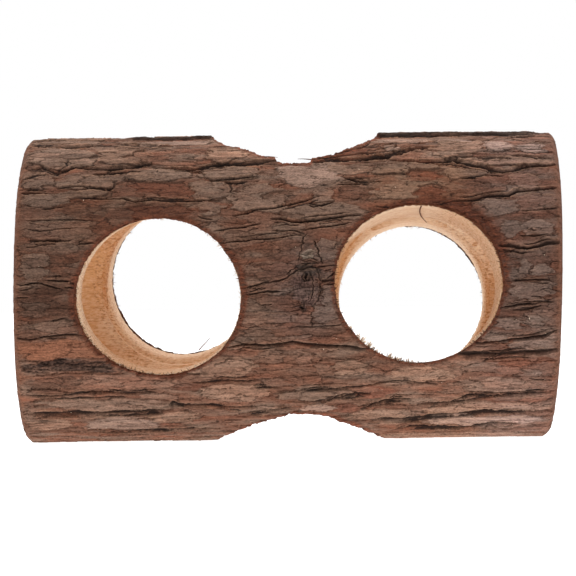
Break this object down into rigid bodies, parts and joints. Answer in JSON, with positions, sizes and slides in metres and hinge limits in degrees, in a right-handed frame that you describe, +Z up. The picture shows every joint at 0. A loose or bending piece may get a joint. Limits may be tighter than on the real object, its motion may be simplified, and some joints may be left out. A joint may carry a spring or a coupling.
{
  "type": "wooden hamster tunnel",
  "caption": "Short bored log with its bark on: a lengthwise tunnel meets side holes and a vertical hole, so a small pet can run in and out.",
  "frame": {"origin": "on the floor below the middle of the log, as it lies on its side", "axes": "+X along the log, +Y towards the rear, +Z up along the vertical hole; the side holes run along Y"},
  "size_m": [0.1832, 0.1047, 0.1037],
  "materials": {
    "sapwood": "raw, bored and sawn, with torn grain",
    "inner_bark": "fibrous, matte",
    "knot_wood": "weathered, matte",
    "outer_bark": "rough, flaking, matte"
  },
  "bodies": {
    "root": {"log_wood": "sapwood", "inner_bark": "inner_bark", "branch_knot": "knot_wood", "bark_front": "outer_bark", "bark_front_upper": "outer_bark", "bark_top_front": "outer_bark", "bark_top_rear": "outer_bark", "bark_rear_upper": "outer_bark", "bark_rear": "outer_bark", "bark_rear_lower": "outer_bark", "bark_bottom_rear": "outer_bark", "bark_bottom_front": "outer_bark", "bark_front_lower": "outer_bark"}
  },
  "joints": []
}
